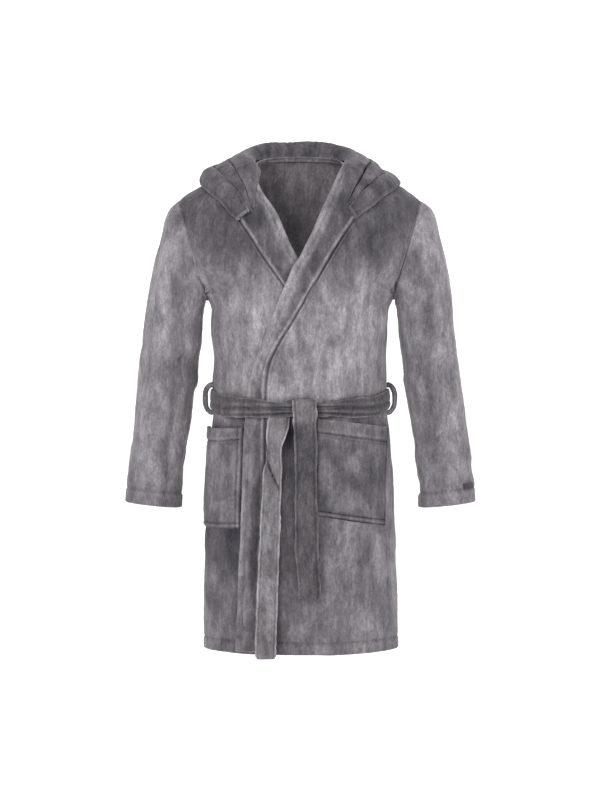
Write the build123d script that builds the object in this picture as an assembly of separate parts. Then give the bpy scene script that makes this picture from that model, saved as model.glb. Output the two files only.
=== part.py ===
"""Hooded wrap bathrobe in plush fleece, standing as it does on a wearer, with its belt tied.

Millimetres. +X is the wearer's left, the front faces -Y, +Z is up. The origin is the middle of the
neckline at shoulder height, where the wearer's shoulders or a hanger carry the robe. Each sewn piece
is one solid a little clear of its neighbours, and the seams between them are the small gaps.
"""

import math
import os

from build123d import *

# Cloth
CLOTH = 3.0  # one layer of fleece
DOUBLE = 6.0  # a turned and doubled band
SEAM_GAP = 2.5  # between two pieces sewn edge to edge
LAP = 7.0  # how far the upper front stands out where it lies over the lower one

# Body of the robe: height, half width, depth forward and back of the centre, and the centre's y
BODY = [
    (15, 88, 58, 68, 18),
    (8, 110, 70, 76, 16),
    (-5, 142, 82, 84, 13),
    (-18, 172, 88, 90, 11),
    (-38, 212, 95, 96, 8),
    (-63, 243, 101, 101, 5),
    (-105, 258, 109, 103, 3),
    (-156, 252, 118, 104, 2),
    (-205, 228, 122, 104, 1),
    (-249, 187, 122, 102, 0),
    (-330, 177, 118, 98, 0),
    (-456, 171, 104, 93, 0),
    (-530, 178, 112, 107, 0),
    (-650, 187, 121, 121, 0),
    (-790, 192, 127, 127, 0),
    (-965, 195, 131, 130, 0),
]
FULLNESS = 2.3  # exponent of the body's superellipse sections, where 2 is an ellipse
NECK_TILT = 0.26  # rise of the neckline per millimetre towards the back
TILT_FROM, TILT_TO = -120, 15  # heights between which that rise comes in
TOP, HEM = 15, -948

# Armhole: a plane through the shoulder tip and the underarm, both as (x, z)
SHOULDER_TIP = (241, -63)
UNDERARM = (186, -249)
ARMHOLE_CLEARANCE = 2.0

# Front edges, as (height, x): the seam of each front band, and its free edge
LEFT_SEAM = [
    (15, 88),
    (8, 97),
    (-5, 105),
    (-40, 108),
    (-75, 111),
    (-100, 110),
    (-160, 72),
    (-229, 32),
    (-311, -16),
    (-381, -56),
    (-443, -65),
    (-600, -66),
    (-948, -78),
]
LEFT_EDGE = [
    (15, 80),
    (5, 77),
    (-12, 69),
    (-38, 60),
    (-90, 43),
    (-134, 26),
    (-184, 1),
    (-203, -12),
    (-288, -46),
    (-345, -68),
    (-391, -88),
    (-443, -100),
    (-600, -107),
    (-948, -121),
]
RIGHT_SEAM = [
    (15, -88),
    (8, -99),
    (-5, -108),
    (-40, -114),
    (-80, -119),
    (-106, -119),
    (-144, -96),
    (-174, -77),
    (-213, -51),
    (-322, 20),
    (-390, 55),
    (-443, 62),
    (-948, 66),
]
RIGHT_EDGE = [
    (15, -84),
    (-10, -84),
    (-45, -70),
    (-95, -46),
    (-152, -23),
    (-184, -6),
    (-245, 32),
    (-322, 70),
    (-390, 98),
    (-443, 104),
    (-948, 106),
]
FRONT_TOP, BAND_TOP = 8, -1  # of the front panels and of their bands, at the side of the neck

# Left sleeve in its upright plane: outer contour (x, z), inner contour (x, z), half depth
SLEEVE = [
    ((241, -63), (186, -249), 74),
    ((264, -106), (188, -257), 75),
    ((279, -155), (191, -264), 74),
    ((291, -205), (194, -273), 72),
    ((300, -255), (196, -290), 70),
    ((309, -320), (200, -335), 67),
    ((320, -400), (209, -412), 64),
    ((331, -500), (224, -512), 61),
    ((338, -560), (231, -572), 59.5),
    ((343, -612), (236, -624), 58.5),
    ((347, -660), (239, -672), 58),
]
SLEEVE_FULLNESS = 2.2
SLEEVE_SWING = (0, 70)  # degrees that a sleeve lifts sideways

# Pockets
POCKET_TOP, POCKET_BOTTOM = -508, -700
POCKET_DEPTH = 14.0  # how far the pocket bellies out, inside
POCKET_WALL = 4.0
POCKET_CLOSED = -655  # below here the belly runs out to the bottom seam
LEFT_POCKET = (42, 168)  # x of its edges
RIGHT_POCKET_EDGE = -116  # x of its front edge; the other lies at the side seam

# Belt
BELT_Z = -460
BELT_DIP = 17  # how much lower the belt sits at the knot
BELT_WIDTH = 38  # gathered round the waist
BELT_THICK = 6.0
BELT_GAP = 1.5  # between the belt and the cloth under it
TAIL_WIDTH = 50
KNOT = (-14, 36)  # x of the left tail's edges, where it falls over the belt
KNOT_DEPTH = 13
TAIL_TOP = -503
TAIL_LIFT = 21  # of a tail's outer face from the body
LEFT_TAIL_END, RIGHT_TAIL_END = -846, -952
RIGHT_TAIL = ((-63, -20), (-87, -44))  # x of its edges at the top and at the end
LOOP_HALF_HEIGHT, LOOP_REACH, LOOP_SECTION = 30, 12, 6
LOOP_STANDOFF = 7.3

# Hood, lying down the back: (distance behind the neck seam, height) of its middle line
NECK_SEAM_Y, NECK_SEAM_Z = 88, 34
HOOD_GAP = 4  # between the neck seam and the hood's first row
HOOD_LINE = [
    (8, 22),
    (19, 37),
    (33, 28),
    (43, -30),
    (51, -100),
    (57, -170),
    (66, -214),
    (88, -230),
    (106, -208),
    (111, -150),
    (106, -88),
    (97, -36),
]
HOOD_RIM = [(96, -24), (87, 16)]
HOOD_HALF_WIDTH = 146
HOOD_SIDE_SHARE = 0.34  # depth left at the pouch's side edges
# Middle of a side band over the shoulder, as (height, turn in degrees from the side seam)
SIDE_BAND = [(-92, -60), (-66, -42), (-36, -22), (-20, -4), (-12, 16), (-6, 36), (0, 52)]
SIDE_BAND_WIDTH = 34
SIDE_BAND_LIFT, SIDE_BAND_RISE = 10, 13  # of its outer face, outwards and upwards

# Small pieces
TAPE_WIDTH, TAPE_THICK, TAPE_GAP = 13, 1.4, 1.5
HANGER = {"half": 26, "drop": 34, "z": -24, "gap": 5, "wide": 7, "thick": 2.4}
CARE_LABEL = (30, 0.8, 60)
CARE_LABEL_Z = -610
SLEEVE_LABEL = (26, 1.0, 11)
SLEEVE_LABEL_Z = -631


def between(rows, at, column=1):
    """A smooth value of one column of rows, which are sorted by their first, falling, column."""
    keys = [row[0] for row in rows]
    at = max(min(at, keys[0]), keys[-1])
    i = next(k for k in range(len(keys) - 1) if at >= keys[k + 1])
    h = keys[i + 1] - keys[i]
    share = (at - keys[i]) / h
    low, high = rows[i][column], rows[i + 1][column]

    def slope(k):
        before, after = max(k - 1, 0), min(k + 1, len(keys) - 1)
        return (rows[after][column] - rows[before][column]) / (keys[after] - keys[before])

    s2, s3 = share * share, share**3
    return (
        low * (2 * s3 - 3 * s2 + 1)
        + high * (3 * s2 - 2 * s3)
        + slope(i) * h * (s3 - 2 * s2 + share)
        + slope(i + 1) * h * (s3 - s2)
    )


def ease(value, start, end):
    """0 before start, 1 after end, and smooth between them."""
    share = max(0.0, min(1.0, (value - start) / (end - start)))
    return share * share * (3 - 2 * share)


def signed_power(value, power):
    return math.copysign(abs(value) ** power, value)


def on_body(z, turn, lift=0.0):
    """The outer surface at height z, lift outside it. turn is 0 at the left side, 90 at the back."""
    wide, front, back, middle = (between(BODY, z, k) for k in (1, 2, 3, 4))
    across, along = math.cos(math.radians(turn)), math.sin(math.radians(turn))
    deep = back if along > 0 else front
    x = (wide + lift) * signed_power(across, 2 / FULLNESS)
    y = (deep + lift) * signed_power(along, 2 / FULLNESS)
    rise = NECK_TILT * ease(z, TILT_FROM, TILT_TO) * y
    return Vector(x, middle + y, z + rise)


def front_turn(z, x):
    """The turn at which the front of the body reaches x, from 0 at the left to -180 at the right."""
    share = min(1.0, abs(x) / between(BODY, z)) ** (FULLNESS / 2)
    turn = math.degrees(math.acos(share))
    return -turn if x > 0 else turn - 180


def lap(z, x):
    """How far the upper front stands out: only at the front, and not on the shoulder."""
    return LAP * (1 - ease(x, 112, 162)) * (1 - ease(z, -130, -60))


def spread(start, end, count):
    return [start + (end - start) * k / (count - 1) for k in range(count)]


def loft(sections):
    """A solid through closed sections; each is a list of sides, and a side a list of points."""
    wires = []
    for sides in sections:
        edges = [Edge.make_spline(p) if len(p) > 2 else Edge.make_line(*p) for p in sides]
        wires.append(Wire(edges))
    return Solid.make_loft(wires)


def cloth_section(outer, inner):
    """The section of a sheet, from the points of its outer and its inner face."""
    inner = inner[::-1]
    return [outer, [outer[-1], inner[0]], inner, [inner[-1], outer[0]]]


def patch(levels, first_turn, last_turn, lift, thickness, columns=15):
    """A sheet on the body between two turns, each a function of height; lift is of (z, x, share)."""

    def surface(z, share, inset=0.0):
        turn = first_turn(z) + (last_turn(z) - first_turn(z)) * share
        return on_body(z, turn, lift(z, on_body(z, turn).X, share) - inset)

    sections = []
    for z in levels:
        outer, inner = [], []
        for share in spread(0, 1, columns):
            point = surface(z, share)
            outer.append(point)
            if z in (levels[0], levels[-1]):
                inner.append(surface(z, share, thickness))
                continue
            near = min(max(share, 0.02), 0.98)
            along = surface(z, near + 0.02) - surface(z, near - 0.02)
            down = surface(z - 2, share) - surface(z + 2, share)
            normal = along.cross(down).normalized()
            middle = Vector(0, between(BODY, z, 4), point.Z)
            if normal.dot(point - middle) < 0:
                normal = -normal
            inner.append(point - normal * thickness)
        sections.append(cloth_section(outer, inner))
    return loft(sections)


def strap(centres, widths, faces, wide, thick):
    """A strap through points; at each, its width's direction and the direction its outer face looks."""
    sections = []
    for centre, across, out in zip(centres, widths, faces):
        across = across.normalized() * (wide / 2)
        out = out.normalized() * (thick / 2)
        a, b = centre + across + out, centre - across + out
        c, d = centre - across - out, centre + across - out
        sections.append([[a, b], [b, c], [c, d], [d, a]])
    return loft(sections)


def heights(top, bottom):
    """Heights for a patch: closer together on the shoulder."""
    fine = [z for z in (8, 0, -9, -20, -33, -46, -60, -74, -88, -104, -130) if bottom < z < top - 5]
    coarse = [z for z in range(-165, -930, -44) if bottom < z < top - 20]
    return [top, *fine, *coarse, bottom]


def armhole_cutter(side):
    """Everything outside the armhole's plane on one side, above the underarm."""
    (tip_x, tip_z), (arm_x, arm_z) = SHOULDER_TIP, UNDERARM
    lean = math.degrees(math.atan2(tip_x - arm_x, tip_z - arm_z))
    block = Pos(0, 0, -10) * Box(200, 400, 340, align=(Align.MIN, Align.CENTER, Align.MIN))
    cutter = Pos(arm_x - ARMHOLE_CLEARANCE, 0, arm_z) * Rot(0, lean, 0) * block
    return cutter if side > 0 else cutter.mirror(Plane.YZ)


def one_solid(shape):
    """The largest solid of a cut, without crumbs."""
    return max(shape.solids(), key=lambda s: s.volume)


# ---- Body of the robe


def back_panel():
    whole = patch(
        heights(TOP, HEM), lambda z: 179.6, lambda z: 0.4, lambda z, x, s: 0, CLOTH, columns=25
    )
    return one_solid(whole - armhole_cutter(1) - armhole_cutter(-1))


def left_front_panel():
    whole = patch(
        heights(FRONT_TOP, HEM),
        lambda z: -0.4,
        lambda z: front_turn(z, between(LEFT_SEAM, z) + SEAM_GAP / 2),
        lambda z, x, s: lap(z, x),
        CLOTH,
        columns=19,
    )
    return one_solid(whole - armhole_cutter(1))


def right_front_panel():
    whole = patch(
        heights(FRONT_TOP, HEM),
        lambda z: front_turn(z, between(RIGHT_SEAM, z) - SEAM_GAP / 2),
        lambda z: -179.6,
        lambda z, x, s: 0,
        CLOTH,
        columns=19,
    )
    return one_solid(whole - armhole_cutter(-1))


def left_front_band():
    return patch(
        heights(BAND_TOP, HEM),
        lambda z: front_turn(z, between(LEFT_SEAM, z) - SEAM_GAP / 2),
        lambda z: front_turn(z, between(LEFT_EDGE, z)),
        lambda z, x, s: lap(z, 0) + 3,
        DOUBLE,
        columns=5,
    )


def right_front_band():
    return patch(
        heights(BAND_TOP, HEM),
        lambda z: front_turn(z, between(RIGHT_EDGE, z)),
        lambda z: front_turn(z, between(RIGHT_SEAM, z) + SEAM_GAP / 2),
        lambda z, x, s: 1.5,
        DOUBLE - 1,
        columns=5,
    )


def neck_tape():
    """A tape hanging inside the back neck seam."""
    centres, widths, faces = [], [], []
    for turn in spread(128, 52, 11):
        top = on_body(TOP, turn, -(CLOTH + TAPE_GAP))
        ahead, behind = on_body(TOP, turn - 1), on_body(TOP, turn + 1)
        centres.append(Vector(top.X, top.Y, top.Z - 2 - TAPE_WIDTH / 2))
        widths.append(Vector(0, 0, 1))
        faces.append(Vector(ahead.Y - behind.Y, behind.X - ahead.X, 0))
    return strap(centres, widths, faces, TAPE_WIDTH, TAPE_THICK)


# ---- Sleeves


def sleeve_section(row, inset):
    """One closed section of the left sleeve, inset inside its outer contour."""
    (ox, oz), (ix, iz), deep = row
    middle = Vector((ox + ix) / 2, 0, (oz + iz) / 2)
    out = Vector(ox - ix, 0, oz - iz)
    half = out.length / 2 - inset
    out = out.normalized()
    halves = []
    for start in (0, 180):
        points = []
        for turn in range(start, start + 181, 20):
            c, s = math.cos(math.radians(turn)), math.sin(math.radians(turn))
            across = half * signed_power(c, 2 / SLEEVE_FULLNESS)
            along = (deep - inset) * signed_power(s, 2 / SLEEVE_FULLNESS)
            points.append(middle + out * across + Vector(0, along, 0))
        halves.append(points)
    return halves


def left_sleeve():
    outer = loft([sleeve_section(row, 0) for row in SLEEVE])
    inner = loft([sleeve_section(row, CLOTH) for row in SLEEVE])
    return one_solid(outer - inner)


def sleeve_label():
    """A blank woven label on the outer front of the left cuff."""
    wide, thick, tall = SLEEVE_LABEL
    place = Pos(332.0, -44.8, SLEEVE_LABEL_Z) * Rot(0, 0, 47)
    return (place * Box(wide, thick, tall)).solid()


# ---- Pockets


def pocket(first_turn, last_turn, base):
    """A patch pocket: a wall that bellies out between its sewn sides and bottom, open at the top."""

    def lift(z, x, share):
        belly = math.sin(math.pi * min(1, max(0, share))) ** 0.6 * ease(z, POCKET_BOTTOM, POCKET_CLOSED)
        return base(z, x) + 1.0 + POCKET_WALL + POCKET_DEPTH * belly

    levels = [POCKET_TOP, *spread(POCKET_TOP - 40, POCKET_CLOSED, 3), POCKET_CLOSED - 15, POCKET_BOTTOM]
    return patch(levels, first_turn, last_turn, lift, POCKET_WALL, columns=13)


def left_pocket():
    near, far = LEFT_POCKET
    return pocket(lambda z: front_turn(z, far), lambda z: front_turn(z, near), lap)


def right_pocket():
    return pocket(lambda z: front_turn(z, RIGHT_POCKET_EDGE), lambda z: -178.0, lambda z, x: 0.0)


# ---- Belt


def belt_lift(x, y):
    """How far the belt's inner face stands off the body: over both fronts, then close round the back."""
    over_fronts = (1 - ease(x, 116, 166)) * ease(x, -158, -122) if y < 0 else 0
    return BELT_GAP + 10.6 * over_fronts


def belt_waistband():
    """The belt round the waist, open at the front where the knot joins its ends."""
    first, last = front_turn(BELT_Z, KNOT[0] - 3), front_turn(BELT_Z, KNOT[1] + 3) - 360

    def middle(turn, offset=0.0):
        z = BELT_Z - BELT_DIP * ease(-on_body(BELT_Z, turn).Y, 0, 100) + offset
        at = on_body(z, turn)
        return on_body(z, turn, belt_lift(at.X, at.Y) + BELT_THICK / 2)

    centres, widths, faces = [], [], []
    for turn in spread(first, last, 49):
        up = middle(turn, BELT_WIDTH / 2) - middle(turn, -BELT_WIDTH / 2)
        along = middle(turn - 1) - middle(turn + 1)
        centres.append((middle(turn, BELT_WIDTH / 2) + middle(turn, -BELT_WIDTH / 2)) * 0.5)
        widths.append(up)
        faces.append(up.cross(along))
    return strap(centres, widths, faces, BELT_WIDTH, BELT_THICK)


def front_of_body(z, x, lift):
    return on_body(z, front_turn(z, x), lift)


def belt_knot():
    """The short turn of belt that falls over the waistband and holds it."""
    left, right = KNOT
    z = BELT_Z - BELT_DIP
    face = front_of_body(z, (left + right) / 2, belt_lift(0, -1) + BELT_THICK + 1.5)
    block = Box(right - left, KNOT_DEPTH, BELT_WIDTH + 4, align=(Align.CENTER, Align.MAX, Align.CENTER))
    block = fillet(block.edges().filter_by(Axis.X), 5)
    return (Pos((left + right) / 2, face.Y, z) * block).solid()


def tail(top_edges, end_edges, end):
    """A free end of the belt, hanging down the front from the knot."""
    sections = []
    for z in spread(TAIL_TOP, end, 9):
        share = (TAIL_TOP - z) / (TAIL_TOP - end)
        left = top_edges[0] + (end_edges[0] - top_edges[0]) * share
        right = top_edges[1] + (end_edges[1] - top_edges[1]) * share
        y = front_of_body(z, (left + right) / 2, TAIL_LIFT).Y
        a, b = Vector(left, y, z), Vector(right, y, z)
        c, d = Vector(right, y + BELT_THICK, z), Vector(left, y + BELT_THICK, z)
        sections.append([[a, b], [b, c], [c, d], [d, a]])
    return loft(sections)


def belt_left_tail():
    return tail(KNOT, KNOT, LEFT_TAIL_END)


def belt_right_tail():
    return tail(*RIGHT_TAIL, RIGHT_TAIL_END)


def left_belt_loop():
    x = on_body(BELT_Z, 0).X + LOOP_STANDOFF
    top = (x, 0, BELT_Z + LOOP_HALF_HEIGHT)
    path = Edge.make_three_point_arc(
        top, (x + LOOP_REACH, 0, BELT_Z), (x, 0, BELT_Z - LOOP_HALF_HEIGHT)
    )
    start = Plane(origin=path @ 0, z_dir=path % 0)
    return sweep(start * Circle(LOOP_SECTION / 2), path).solid()


def hanger_loop():
    """A narrow loop of tape outside the back of the neck, under the hood."""
    y, z = on_body(HANGER["z"], 90).Y + HANGER["gap"], on_body(TOP, 90).Z - 6
    half, drop = HANGER["half"], HANGER["drop"]
    path = Edge.make_three_point_arc((-half, y, z), (0, y + 4, z - drop), (half, y, z))
    start = Plane(origin=path @ 0, z_dir=path % 0, x_dir=(0, 1, 0))
    return sweep(start * Rectangle(HANGER["thick"], HANGER["wide"]), path).solid()


def care_label():
    """A folded care label that hangs from the inside of the left side seam."""
    wide, thick, tall = CARE_LABEL
    x = on_body(CARE_LABEL_Z, 0).X - CLOTH - 1.0
    return (Pos(x, 0, CARE_LABEL_Z) * Box(wide, thick, tall, align=(Align.MAX, Align.CENTER, Align.CENTER))).solid()


# ---- Hood


def hood_section(line, x, thickness):
    """The section at x of a hood piece whose middle line is given, flatter towards the sides."""
    share = abs(x) / HOOD_HALF_WIDTH
    kept = HOOD_SIDE_SHARE + (1 - HOOD_SIDE_SHARE) * math.sqrt(max(0.0, 1 - share**2.2))
    rim = kept * 0.75 + 0.25
    outer = []
    for behind, z in line:
        drop = z * kept if z < 0 else z - 34 * (1 - rim)
        outer.append(Vector(x, NECK_SEAM_Y + HOOD_GAP + behind * kept, NECK_SEAM_Z + drop))
    inner = []
    for k, point in enumerate(outer):
        before, after = outer[max(k - 1, 0)], outer[min(k + 1, len(outer) - 1)]
        along = (after - before).normalized()
        inner.append(point + Vector(0, -along.Z, along.Y) * thickness)
    return cloth_section(outer, inner)


def hood_left_panel():
    """Half of the hood: a pouch that lies down the back, open upwards."""
    stations = [0.8, 25, 50, 75, 98, 118, 133, HOOD_HALF_WIDTH]
    return loft([hood_section(HOOD_LINE, x, CLOTH) for x in stations])


def hood_rear_band():
    """The doubled band round the hood's opening, where it lies furthest back."""
    stations = [-HOOD_HALF_WIDTH, -133, -118, -98, -75, -50, -25, 0, 25, 50, 75, 98, 118, 133]
    return loft([hood_section(HOOD_RIM, x, DOUBLE) for x in [*stations, HOOD_HALF_WIDTH]])


def hood_left_band():
    """The hood's edge band, from the top of the front band back over the shoulder."""

    def middle(step, z_off=0.0, turn_off=0.0):
        k = min(int(step), len(SIDE_BAND) - 2)
        (z0, turn0), (z1, turn1) = SIDE_BAND[k], SIDE_BAND[k + 1]
        z, turn = z0 + (z1 - z0) * (step - k), turn0 + (turn1 - turn0) * (step - k)
        point = on_body(z + z_off, turn + turn_off, SIDE_BAND_LIFT)
        return point + Vector(0, 0, SIDE_BAND_RISE)

    centres, widths, faces = [], [], []
    for step in spread(0, len(SIDE_BAND) - 1, 2 * len(SIDE_BAND) - 1):
        along = middle(step, turn_off=2) - middle(step, turn_off=-2)
        normal = (middle(step, z_off=4) - middle(step, z_off=-4)).cross(along)
        here, there = max(step - 0.3, 0), min(step + 0.3, len(SIDE_BAND) - 1)
        path = middle(there) - middle(here)
        centres.append(middle(step))
        widths.append(normal.cross(path))
        faces.append(normal)
    return strap(centres, widths, faces, SIDE_BAND_WIDTH, DOUBLE)


def mirrored(solid):
    return solid.mirror(Plane.YZ)


PIECES = {
    "back_panel": back_panel,
    "left_front_panel": left_front_panel,
    "right_front_panel": right_front_panel,
    "left_front_band": left_front_band,
    "right_front_band": right_front_band,
    "neck_tape": neck_tape,
    "left_sleeve": left_sleeve,
    "right_sleeve": lambda: mirrored(left_sleeve()),
    "sleeve_label": sleeve_label,
    "left_pocket": left_pocket,
    "right_pocket": right_pocket,
    "belt_waistband": belt_waistband,
    "belt_knot": belt_knot,
    "belt_left_tail": belt_left_tail,
    "belt_right_tail": belt_right_tail,
    "left_belt_loop": left_belt_loop,
    "right_belt_loop": lambda: mirrored(left_belt_loop()),
    "hanger_loop": hanger_loop,
    "care_label": care_label,
    "hood_left_panel": hood_left_panel,
    "hood_right_panel": lambda: mirrored(hood_left_panel()),
    "hood_rear_band": hood_rear_band,
    "hood_left_band": hood_left_band,
    "hood_right_band": lambda: mirrored(hood_left_band()),
}


def main():
    os.makedirs("parts", exist_ok=True)
    for name, make in PIECES.items():
        solid = make()
        export_step(solid, f"parts/{name}.step")
        box = solid.bounding_box()
        print(name, round(solid.volume), [round(v) for v in (*box.min, *box.max)])


if __name__ == "__main__":
    main()
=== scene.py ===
import math

import bmesh
import bpy
import numpy as np
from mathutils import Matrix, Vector


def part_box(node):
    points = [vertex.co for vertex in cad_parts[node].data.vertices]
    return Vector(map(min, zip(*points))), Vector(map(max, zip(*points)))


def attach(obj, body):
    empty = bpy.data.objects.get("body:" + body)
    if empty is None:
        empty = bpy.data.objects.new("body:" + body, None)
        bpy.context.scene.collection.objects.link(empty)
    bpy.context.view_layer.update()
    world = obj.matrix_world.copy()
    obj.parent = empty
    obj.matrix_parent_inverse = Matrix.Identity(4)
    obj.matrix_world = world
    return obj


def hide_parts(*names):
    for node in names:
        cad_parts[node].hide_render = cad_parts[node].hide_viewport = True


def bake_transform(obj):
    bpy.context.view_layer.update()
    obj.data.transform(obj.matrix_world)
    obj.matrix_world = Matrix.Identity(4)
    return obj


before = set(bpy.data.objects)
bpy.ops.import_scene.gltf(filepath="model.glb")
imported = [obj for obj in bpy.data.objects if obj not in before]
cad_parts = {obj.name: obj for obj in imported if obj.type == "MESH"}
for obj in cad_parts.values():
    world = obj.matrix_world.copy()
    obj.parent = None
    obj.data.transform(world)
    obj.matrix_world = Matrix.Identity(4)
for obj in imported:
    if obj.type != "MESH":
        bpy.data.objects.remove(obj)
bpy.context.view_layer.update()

# Millimetres throughout, as in the CAD; make() turns them into metres.
# The body's sections: height, half width, depth to the front, depth to the back, how far back the middle lies
BODY = [
    (15, 88, 58, 68, 18),
    (8, 110, 70, 76, 16),
    (-5, 142, 82, 84, 13),
    (-18, 172, 88, 90, 11),
    (-38, 212, 95, 96, 8),
    (-63, 243, 101, 101, 5),
    (-105, 258, 109, 103, 3),
    (-156, 252, 118, 104, 2),
    (-205, 228, 122, 104, 1),
    (-249, 187, 122, 102, 0),
    (-330, 177, 118, 98, 0),
    (-456, 171, 104, 93, 0),
    (-530, 178, 112, 107, 0),
    (-650, 187, 121, 121, 0),
    (-790, 192, 127, 127, 0),
    (-965, 195, 131, 130, 0),
]
FULL = 2.3  # how square a section is: 2 is an ellipse
TILT = 0.26  # how steeply the shoulders rise from front to back
TOP, HEM = 15.0, -948.0
CLOTH = 3.2
LAP = 7.0  # how far the left front stands off the right one
BELT_Z, BELT_DIP, BELT_WIDE = -460.0, 17.0, 40.0  # the dip is at the front
KNOT_Z, KNOT_X = BELT_Z - BELT_DIP, 11
# Each front's seam and free edge, as (height, x)
LEFT_SEAM = [(15, 88), (8, 97), (-5, 105), (-40, 108), (-75, 111), (-100, 110), (-160, 72), (-229, 32),
             (-311, -16), (-381, -56), (-443, -65), (-600, -66), (-948, -78)]
LEFT_EDGE = [(15, 80), (5, 77), (-12, 69), (-38, 60), (-90, 43), (-134, 26), (-184, 1), (-203, -12),
             (-288, -46), (-345, -68), (-391, -88), (-443, -100), (-600, -107), (-948, -121)]
RIGHT_SEAM = [(15, -88), (8, -99), (-5, -108), (-40, -114), (-80, -119), (-106, -119), (-144, -96),
              (-174, -77), (-213, -51), (-322, 20), (-390, 55), (-443, 62), (-948, 66)]
RIGHT_EDGE = [(15, -84), (-10, -84), (-45, -70), (-95, -46), (-152, -23), (-184, -6), (-245, 32),
              (-322, 70), (-390, 98), (-443, 104), (-948, 106)]
# Outer edge (x, z), inner edge (x, z) and half depth of the left sleeve, from armhole to cuff
SLEEVE = [
    ((241, -63), (186, -249), 74), ((264, -106), (188, -257), 75), ((279, -155), (191, -264), 74),
    ((291, -205), (194, -273), 72), ((300, -255), (196, -290), 70), ((309, -320), (200, -335), 67),
    ((320, -400), (209, -412), 64), ((331, -500), (224, -512), 61), ((338, -560), (231, -572), 59.5),
    ((343, -612), (236, -624), 58.5), ((347, -660), (239, -672), 58),
]
TIP, ARM = np.array([241.0, -63.0]), np.array([186.0, -249.0])  # ends of the armhole's plane, (x, z)
CUFF_HEM = 27  # the cuff's hem, from its edge
GIRTH = 60  # a sleeve's rough radius, so that its relief is in mm round it too
NAMES = {1: "left", -1: "right"}  # the two sides, as the wearer's
PRIMES = (374761393, 668265263, 2147483647)
GREY = (0.232, 0.215, 0.230)


# ---- Small maths


def ease(v, a, b):
    """0 up to a, 1 from b on, and smooth between."""
    t = np.clip((np.asarray(v, float) - a) / (b - a), 0, 1)
    return t * t * (3 - 2 * t)


def bump(v, centre, width):
    return np.exp(-(((np.asarray(v, float) - centre) / width) ** 2))


def signed(v, power):
    return np.sign(v) * np.abs(v) ** power


def through(rows, at):
    """Smooth values of every column after the first, at falling keys."""
    rows = np.array(rows, float)
    keys = rows[:, 0]
    at = np.clip(np.asarray(at, float), keys[-1], keys[0])
    i = np.clip(np.searchsorted(-keys, -at, side="right") - 1, 0, len(keys) - 2)
    slope = np.empty_like(rows)
    for k in range(len(keys)):
        a, b = max(k - 1, 0), min(k + 1, len(keys) - 1)
        slope[k] = (rows[b] - rows[a]) / (keys[b] - keys[a])
    h = (keys[i + 1] - keys[i])[..., None]
    s = ((at - keys[i]) / (keys[i + 1] - keys[i]))[..., None]
    s2, s3 = s * s, s**3
    out = (rows[i] * (2 * s3 - 3 * s2 + 1) + rows[i + 1] * (3 * s2 - 2 * s3)
           + slope[i] * h * (s3 - 2 * s2 + s) + slope[i + 1] * h * (s3 - s2))
    return out[..., 1:]


ZS = np.arange(-1000.0, 41.0)
DENSE = through(BODY, ZS[::-1])[::-1]


def unit(v):
    return v / np.maximum(np.linalg.norm(v, axis=-1, keepdims=True), 1e-9)


def distance(p):
    """Distance along a path from its start, at each of its points."""
    return np.concatenate([[0], np.cumsum(np.linalg.norm(np.diff(p, axis=0), axis=1))])


def lump(p, size, seed):
    """Smooth random values from about -1 to 1 over space; size is each axis's grain in mm."""
    q = np.asarray(p, float) / np.asarray(size, float) + seed * 17.31
    i = np.floor(q).astype(np.int64)
    f = q - i
    f = f * f * f * (f * (f * 6 - 15) + 10)
    total = 0.0
    for corner in np.ndindex(2, 2, 2):
        h = sum((i[..., k] + corner[k]) * PRIMES[k] for k in range(3))
        h = (h ^ (h >> 13)) * 1274126177
        h = ((h ^ (h >> 16)) & 0xFFFF) / 32767.5 - 1
        for k in range(3):
            h = h * (f[..., k] if corner[k] else 1 - f[..., k])
        total = total + h
    return total


# ---- The body's surface


def body(z, turn, lift=0.0):
    """The body's surface at a height and a turn: 0 is the left side, -90 the front and 90 the back."""
    z, turn = np.broadcast_arrays(np.asarray(z, float), np.asarray(turn, float))
    wide, front, back, middle = (np.interp(z, ZS, DENSE[:, k]) for k in range(4))
    c, s = np.cos(np.radians(turn)), np.sin(np.radians(turn))
    deep = np.where(s > 0, back, front)
    x = (wide + lift) * signed(c, 2 / FULL)
    y = (deep + lift) * signed(s, 2 / FULL)
    rise = TILT * ease(z, -120, 15) * y
    return np.stack([x, middle + y, z + rise], -1)


def outward(z, turn):
    """The body's outward normal."""
    along = body(z, turn + 1.5) - body(z, turn - 1.5)
    up = body(z + 1.5, turn) - body(z - 1.5, turn)
    n = unit(np.cross(along, up))
    here = body(z, turn)
    side = np.sum(n[..., :2] * (here[..., :2] - np.array([0, 5.0])), -1, keepdims=True)
    return n * np.where(side < 0, -1, 1)


def turn_at(z, x):
    """The turn at which the front reaches x: 0 at the left side, -180 at the right."""
    wide = np.interp(z, ZS, DENSE[:, 0])
    share = np.clip(np.abs(x) / wide, 0, 1) ** (FULL / 2)
    turn = np.degrees(np.arccos(share))
    return np.where(np.asarray(x) > 0, -turn, turn - 180)


def armhole_turn(z, front=True, under=0.0):
    """Turn at which the left side meets the armhole's plane at height z; under moves the plane outwards."""
    z = np.atleast_1d(np.asarray(z, float))
    normal = np.array([TIP[1] - ARM[1], -(TIP[0] - ARM[0])])
    normal = normal / np.linalg.norm(normal)
    low, high = np.zeros_like(z), np.full_like(z, 88.0)
    sign = -1 if front else 1

    def outside(t):
        p = body(z, sign * t)
        return (p[..., 0] - ARM[0]) * normal[0] + (p[..., 2] - ARM[1]) * normal[1] > under

    there = outside(low) & (z > ARM[1]) & (z < TIP[1])
    for _ in range(40):
        mid = (low + high) / 2
        out = outside(mid)
        low, high = np.where(out, mid, low), np.where(out, high, mid)
    return sign * np.where(there, low, 0.0)


def lap(z, x):
    """How far the left front lies off the body where it covers the right one."""
    return LAP * (1 - ease(x, 112, 162)) * (1 - ease(z, -130, -60))


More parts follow.
